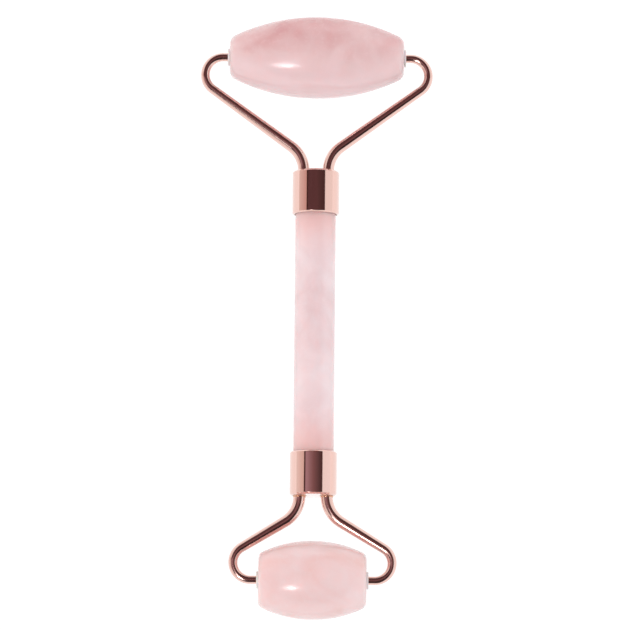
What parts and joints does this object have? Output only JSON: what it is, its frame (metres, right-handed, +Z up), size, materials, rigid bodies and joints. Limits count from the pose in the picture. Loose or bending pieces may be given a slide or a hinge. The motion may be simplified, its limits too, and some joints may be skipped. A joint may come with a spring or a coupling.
{
  "type": "face roller",
  "caption": "Double-ended facial massage roller: barrel-shaped rose quartz stones spin on bent rose-gold arms at both ends of a round stone handle.",
  "frame": {"origin": "centre of the footprint on the surface the roller lies on", "axes": "+Y along the handle towards the larger roller, +X along both roller axles, +Z up"},
  "size_m": [0.056, 0.1458, 0.0197],
  "materials": {
    "rose_quartz": "polished, cloudy pale pink, slightly translucent",
    "rose_gold_plate": "mirror-polished rose-gold plate on a zinc or brass alloy",
    "braze_plate": "smooth brazing fillet under the same plate, a little more golden",
    "white_nylon": "white moulded nylon",
    "epoxy": "clear cured epoxy, hidden inside the ferrules"
  },
  "bodies": {
    "handle_and_arms": {"handle_stone": "rose_quartz", "large_ferrule": "rose_gold_plate", "large_potting": "epoxy", "large_arm_left": "rose_gold_plate", "large_arm_right": "rose_gold_plate", "large_braze_left": "braze_plate", "large_braze_right": "braze_plate", "small_ferrule": "rose_gold_plate", "small_potting": "epoxy", "small_arm_left": "rose_gold_plate", "small_arm_right": "rose_gold_plate", "small_braze_left": "braze_plate", "small_braze_right": "braze_plate"},
    "large_roller": {"large_stone": "rose_quartz", "large_bushing_left": "white_nylon", "large_bushing_right": "white_nylon"},
    "small_roller": {"small_stone": "rose_quartz", "small_bushing_left": "white_nylon", "small_bushing_right": "white_nylon"}
  },
  "joints": [
    {"name": "large_roller_spin", "type": "hinge", "parent": "handle_and_arms", "child": "large_roller", "pos_m": [0, 0.06302, 0.00983], "axis": [1, 0, 0], "continuous": true},
    {"name": "small_roller_spin", "type": "hinge", "parent": "handle_and_arms", "child": "small_roller", "pos_m": [0, -0.06347, 0.00938], "axis": [1, 0, 0], "continuous": true}
  ]
}
